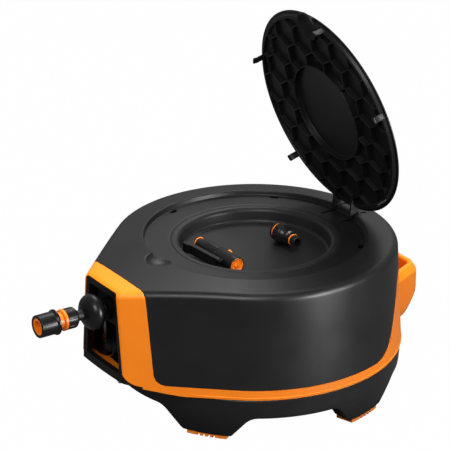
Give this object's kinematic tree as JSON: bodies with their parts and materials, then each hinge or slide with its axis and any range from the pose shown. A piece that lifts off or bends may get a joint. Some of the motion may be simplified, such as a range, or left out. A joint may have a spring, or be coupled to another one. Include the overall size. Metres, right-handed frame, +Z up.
{
  "type": "garden hose reel",
  "caption": "Free-standing spring-rewind garden hose reel on a swivel base, with a storage tray under a hinged ribbed lid, a level-wind hose guide and a carry handle.",
  "frame": {"origin": "on the floor under the swivel axis", "axes": "+Z up along the swivel axis, the hose leaves towards -Y, the carry handle is at +Y"},
  "size_m": [0.402, 0.5665, 0.5147],
  "materials": {
    "black_plastic": "satin moulded",
    "orange_plastic": "smooth moulded",
    "orange_rubber": "matt soft rubber",
    "hose_rubber": "satin hose cover",
    "seal_rubber": "soft seal rubber",
    "white_nylon": "natural nylon",
    "grey_plastic": "fine grain",
    "bright_steel": "drawn steel",
    "cast_brass": "machined brass"
  },
  "bodies": {
    "base": {"base_ring": "black_plastic", "foot_pads": "orange_rubber", "slide_ring": "white_nylon"},
    "housing": {"lower_pan": "black_plastic", "side_band": "orange_plastic", "top_shell": "black_plastic", "storage_tray": "black_plastic", "carry_handle": "orange_plastic", "front_bezel": "black_plastic", "housing_screws": "bright_steel", "retainer_plate": "grey_plastic", "retainer_screws": "bright_steel", "axle": "cast_brass", "inlet_nipple": "black_plastic", "inlet_pipe": "cast_brass", "hinge_pin": "bright_steel", "guide_rods": "bright_steel", "idler_pin": "bright_steel", "pawl_pin": "bright_steel"},
    "lid": {"lid_panel": "black_plastic"},
    "drum": {"drum_hub": "grey_plastic", "drum_flange": "grey_plastic", "flange_screws": "bright_steel", "lower_bush": "white_nylon", "upper_bush": "white_nylon", "power_spring": "bright_steel", "spring_cover": "grey_plastic", "swivel_collar": "cast_brass", "swivel_seals": "seal_rubber", "hose_core": "hose_rubber", "hose_winding": "hose_rubber", "ratchet_ring": "grey_plastic", "drum_gear": "grey_plastic"},
    "pawl": {"pawl": "grey_plastic"},
    "idler": {"idler_gear": "grey_plastic"},
    "screw": {"lead_screw": "bright_steel", "screw_gear": "grey_plastic"},
    "carriage": {"carriage": "black_plastic", "roller_pins": "bright_steel", "hose_lead": "hose_rubber"},
    "low_roller": {"lower_roller": "black_plastic"},
    "high_roller": {"upper_roller": "black_plastic"},
    "hose_end": {"hose_tail": "hose_rubber", "ball_stop": "black_plastic", "connector_nut": "black_plastic", "connector_ring": "orange_plastic", "connector_body": "orange_plastic"},
    "sleeve": {"release_sleeve": "black_plastic"},
    "nozzle": {"nozzle_body": "black_plastic", "nozzle_face": "orange_plastic", "nozzle_seal": "orange_rubber"},
    "lever": {"nozzle_lever": "black_plastic"},
    "knob": {"nozzle_knob": "orange_plastic"},
    "tap": {"tap_body": "black_plastic", "tap_ring": "orange_plastic", "tap_seal": "orange_rubber"}
  },
  "joints": [
    {"name": "base_swivel", "type": "hinge", "parent": "base", "child": "housing", "pos_m": [0, 0, 0.0655], "axis": [0, 0, 1], "continuous": true},
    {"name": "lid_hinge", "type": "hinge", "parent": "housing", "child": "lid", "pos_m": [0, 0.15606, 0.2152], "axis": [-1, 0, 0], "range_deg": [-75.42, 20]},
    {"name": "drum_spin", "type": "hinge", "parent": "housing", "child": "drum", "pos_m": [0, 0, 0.14], "axis": [0, 0, -1], "range_deg": [0, 1200], "stiffness_Nm_per_rad": 0.03, "springref_deg": -687.55},
    {"name": "idler_spin", "type": "hinge", "parent": "housing", "child": "idler", "pos_m": [-0.02752, -0.1065, 0.091], "axis": [0, 0, -1], "range_deg": [-840, 5]},
    {"name": "screw_spin", "type": "hinge", "parent": "housing", "child": "screw", "pos_m": [-0.027, -0.194, 0.14], "axis": [0, 0, -1], "range_deg": [-5, 2410]},
    {"name": "level_wind", "type": "slide", "parent": "housing", "child": "carriage", "axis": [0, 0, 1], "range_m": [-0.05, 0]},
    {"name": "hose_pull", "type": "slide", "parent": "carriage", "child": "hose_end", "axis": [0, -1, 0], "range_m": [0, 3.21], "deforming": ["hose_lead"]},
    {"name": "low_roller_spin", "type": "hinge", "parent": "carriage", "child": "low_roller", "pos_m": [0, -0.226, 0.1524], "axis": [1, 0, 0], "continuous": true},
    {"name": "high_roller_spin", "type": "hinge", "parent": "carriage", "child": "high_roller", "pos_m": [0, -0.226, 0.1796], "axis": [1, 0, 0], "continuous": true},
    {"name": "sleeve_release", "type": "slide", "parent": "hose_end", "child": "sleeve", "axis": [0, 1, 0], "range_m": [0, 0.004], "stiffness_N_per_m": 600, "springref_m": -0.003},
    {"name": "pawl_swing", "type": "hinge", "parent": "housing", "child": "pawl", "pos_m": [0.042, 0.07275, 0.0987], "axis": [0, 0, 1], "range_deg": [0, 8.5], "stiffness_Nm_per_rad": 0.1, "springref_deg": -2.86},
    {"name": "nozzle_lift", "type": "slide", "parent": "housing", "child": "nozzle", "axis": [0, 0, 1], "range_m": [0, 0.1]},
    {"name": "lever_squeeze", "type": "hinge", "parent": "nozzle", "child": "lever", "pos_m": [0.03, -0.077, 0.2012], "axis": [0, 0, -1], "range_deg": [0, 4], "stiffness_Nm_per_rad": 1.5, "springref_deg": -3.44},
    {"name": "knob_turn", "type": "hinge", "parent": "nozzle", "child": "knob", "pos_m": [0.008, -0.0493, 0.2012], "axis": [0, 1, 0], "range_deg": [0, 90]},
    {"name": "tap_lift", "type": "slide", "parent": "housing", "child": "tap", "axis": [0, 0, 1], "range_m": [0, 0.1]}
  ],
  "couplings": [
    {"joint": "idler_spin", "follows": "drum_spin", "ratio": -0.69231},
    {"joint": "screw_spin", "follows": "drum_spin", "ratio": 2},
    {"joint": "level_wind", "follows": "drum_spin", "m_per_rad": -0.0023714},
    {"joint": "hose_pull", "follows": "drum_spin", "m_per_rad": 0.1529}
  ]
}
